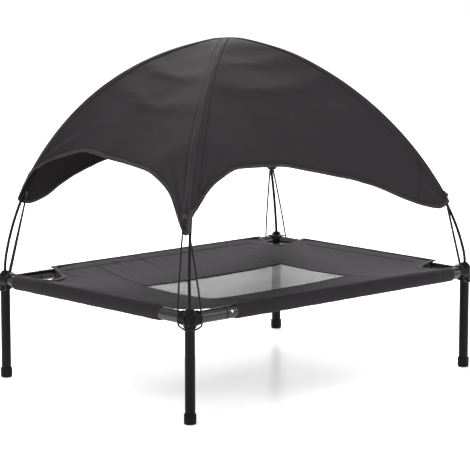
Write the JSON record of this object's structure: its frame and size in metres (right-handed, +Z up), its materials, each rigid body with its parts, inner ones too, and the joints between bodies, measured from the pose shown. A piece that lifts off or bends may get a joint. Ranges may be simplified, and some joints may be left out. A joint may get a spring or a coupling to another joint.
{
  "type": "raised pet bed with canopy",
  "caption": "Raised pet cot: steel tube frame on capped legs, sling with mesh window, and a removable dome canopy on crossed bent poles held down by elastic loops.",
  "frame": {"origin": "middle of the footprint of the four feet, on the floor", "axes": "+X along the long rails, +Y from the front rail to the back rail, +Z up"},
  "size_m": [0.8104, 0.6112, 0.7018],
  "materials": {
    "gloss_tube": "gloss black powder coat on steel tube",
    "satin_tube": "satin black powder coat on steel tube",
    "foot_rubber": "matt black moulded rubber",
    "moulded_nylon": "fine-textured black moulding",
    "plated_button": "plated steel push button",
    "black_screw": "blackened pan-head screw",
    "bright_steel": "plain steel",
    "fibreglass": "black pultruded rod",
    "elastic_cord": "braided black elastic cord",
    "sling_cloth": "charcoal coated woven polyester",
    "mesh_cloth": "grey open-weave coated mesh",
    "canopy_cloth": "charcoal woven polyester, darker coating inside"
  },
  "bodies": {
    "frame": {"button_springs": "bright_steel", "corner_connector_back_left": "moulded_nylon", "corner_connector_back_right": "moulded_nylon", "corner_connector_front_left": "moulded_nylon", "corner_connector_front_right": "moulded_nylon", "elastic_loop_back_left": "elastic_cord", "elastic_loop_back_right": "elastic_cord", "elastic_loop_front_left": "elastic_cord", "elastic_loop_front_right": "elastic_cord", "foot_cap_back_left": "foot_rubber", "foot_cap_back_right": "foot_rubber", "foot_cap_front_left": "foot_rubber", "foot_cap_front_right": "foot_rubber", "leg_back_left": "satin_tube", "leg_back_right": "satin_tube", "leg_front_left": "satin_tube", "leg_front_right": "satin_tube", "leg_screws": "black_screw", "rail_back": "gloss_tube", "rail_front": "gloss_tube", "rail_left": "gloss_tube", "rail_right": "gloss_tube", "sling_fabric": "sling_cloth", "sling_mesh": "mesh_cloth", "stub_back_left_x": "gloss_tube", "stub_back_left_y": "gloss_tube", "stub_back_right_x": "gloss_tube", "stub_back_right_y": "gloss_tube", "stub_front_left_x": "gloss_tube", "stub_front_left_y": "gloss_tube", "stub_front_right_x": "gloss_tube", "stub_front_right_y": "gloss_tube", "stub_screws": "black_screw"},
    "canopy": {"canopy_fabric": "canopy_cloth", "pole_a_back_right": "fibreglass", "pole_a_front_left": "fibreglass", "pole_a_middle": "fibreglass", "pole_b_back_left": "fibreglass", "pole_b_front_right": "fibreglass", "pole_b_middle": "fibreglass", "pole_ferrules": "bright_steel"},
    "button_back_left_x": {"snap_button_back_left_x": "plated_button"},
    "button_back_left_y": {"snap_button_back_left_y": "plated_button"},
    "button_back_right_x": {"snap_button_back_right_x": "plated_button"},
    "button_back_right_y": {"snap_button_back_right_y": "plated_button"},
    "button_front_left_x": {"snap_button_front_left_x": "plated_button"},
    "button_front_left_y": {"snap_button_front_left_y": "plated_button"},
    "button_front_right_x": {"snap_button_front_right_x": "plated_button"},
    "button_front_right_y": {"snap_button_front_right_y": "plated_button"}
  },
  "joints": [
    {"name": "canopy_lift", "type": "slide", "parent": "frame", "child": "canopy", "axis": [0, 0, 1], "range_m": [0, 0.06], "stiffness_N_per_m": 150, "springref_m": -0.03, "deforming": ["elastic_loop_back_left", "elastic_loop_back_right", "elastic_loop_front_left", "elastic_loop_front_right"]},
    {"name": "press_front_left_x", "type": "slide", "parent": "frame", "child": "button_front_left_x", "axis": [0, 0.9397, -0.342], "range_m": [0, 0.0024], "stiffness_N_per_m": 3000, "springref_m": -0.001},
    {"name": "press_front_left_y", "type": "slide", "parent": "frame", "child": "button_front_left_y", "axis": [0.9397, 0, -0.342], "range_m": [0, 0.0024], "stiffness_N_per_m": 3000, "springref_m": -0.001},
    {"name": "press_front_right_x", "type": "slide", "parent": "frame", "child": "button_front_right_x", "axis": [0, 0.9397, -0.342], "range_m": [0, 0.0024], "stiffness_N_per_m": 3000, "springref_m": -0.001},
    {"name": "press_front_right_y", "type": "slide", "parent": "frame", "child": "button_front_right_y", "axis": [-0.9397, 0, -0.342], "range_m": [0, 0.0024], "stiffness_N_per_m": 3000, "springref_m": -0.001},
    {"name": "press_back_left_x", "type": "slide", "parent": "frame", "child": "button_back_left_x", "axis": [0, -0.9397, -0.342], "range_m": [0, 0.0024], "stiffness_N_per_m": 3000, "springref_m": -0.001},
    {"name": "press_back_left_y", "type": "slide", "parent": "frame", "child": "button_back_left_y", "axis": [0.9397, 0, -0.342], "range_m": [0, 0.0024], "stiffness_N_per_m": 3000, "springref_m": -0.001},
    {"name": "press_back_right_x", "type": "slide", "parent": "frame", "child": "button_back_right_x", "axis": [0, -0.9397, -0.342], "range_m": [0, 0.0024], "stiffness_N_per_m": 3000, "springref_m": -0.001},
    {"name": "press_back_right_y", "type": "slide", "parent": "frame", "child": "button_back_right_y", "axis": [-0.9397, 0, -0.342], "range_m": [0, 0.0024], "stiffness_N_per_m": 3000, "springref_m": -0.001}
  ]
}
